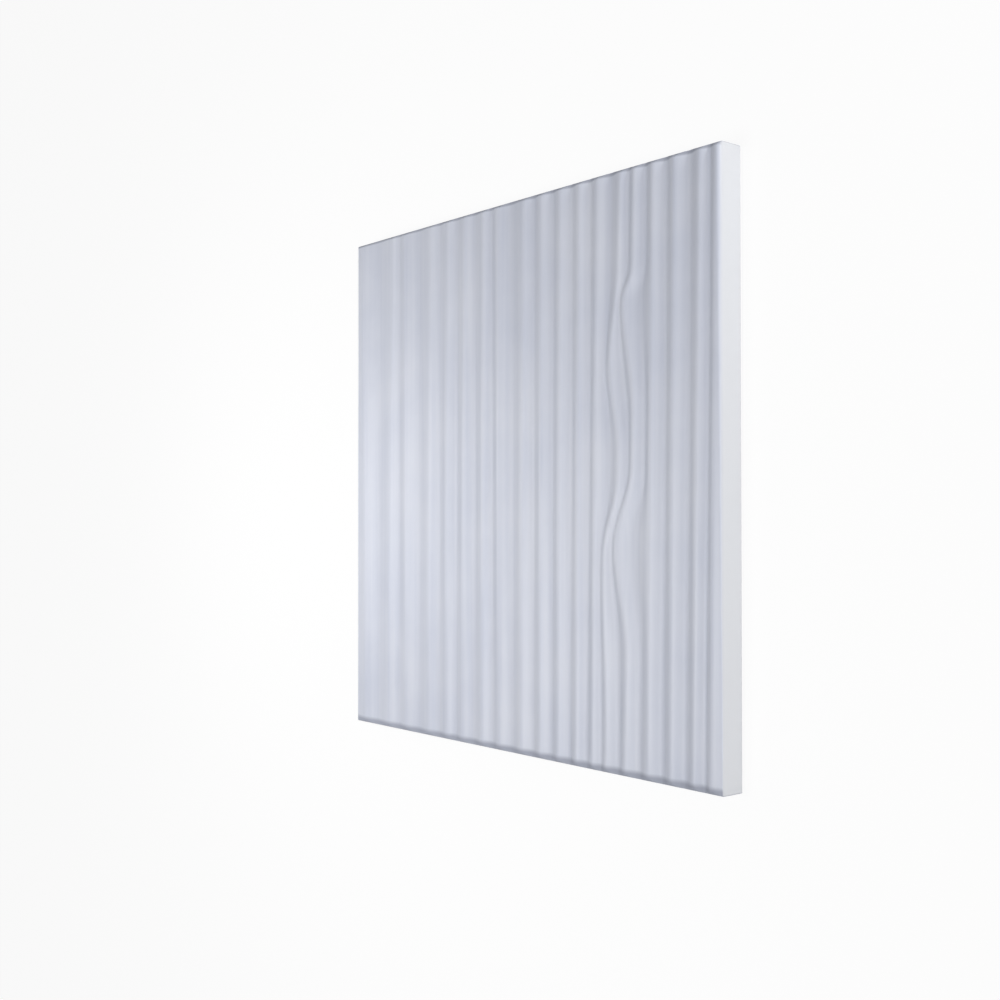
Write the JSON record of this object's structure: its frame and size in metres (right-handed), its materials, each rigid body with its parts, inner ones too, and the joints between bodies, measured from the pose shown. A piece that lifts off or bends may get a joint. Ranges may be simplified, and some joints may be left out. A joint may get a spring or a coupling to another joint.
{
  "type": "acrylic wall panel",
  "caption": "Square acrylic wall panel with a flat back, plain square sides and a carved face of irregular upright waves that part round an eye, like wood grain.",
  "frame": {"origin": "centre of the flat back, which lies on the floor", "axes": "+X across the waves, +Y along the waves, +Z out of the carved face"},
  "size_m": [0.3, 0.3, 0.015],
  "materials": {
    "acrylic": "satin, pale blue-grey, coloured through"
  },
  "bodies": {
    "root": {"panel": "acrylic"}
  },
  "joints": []
}
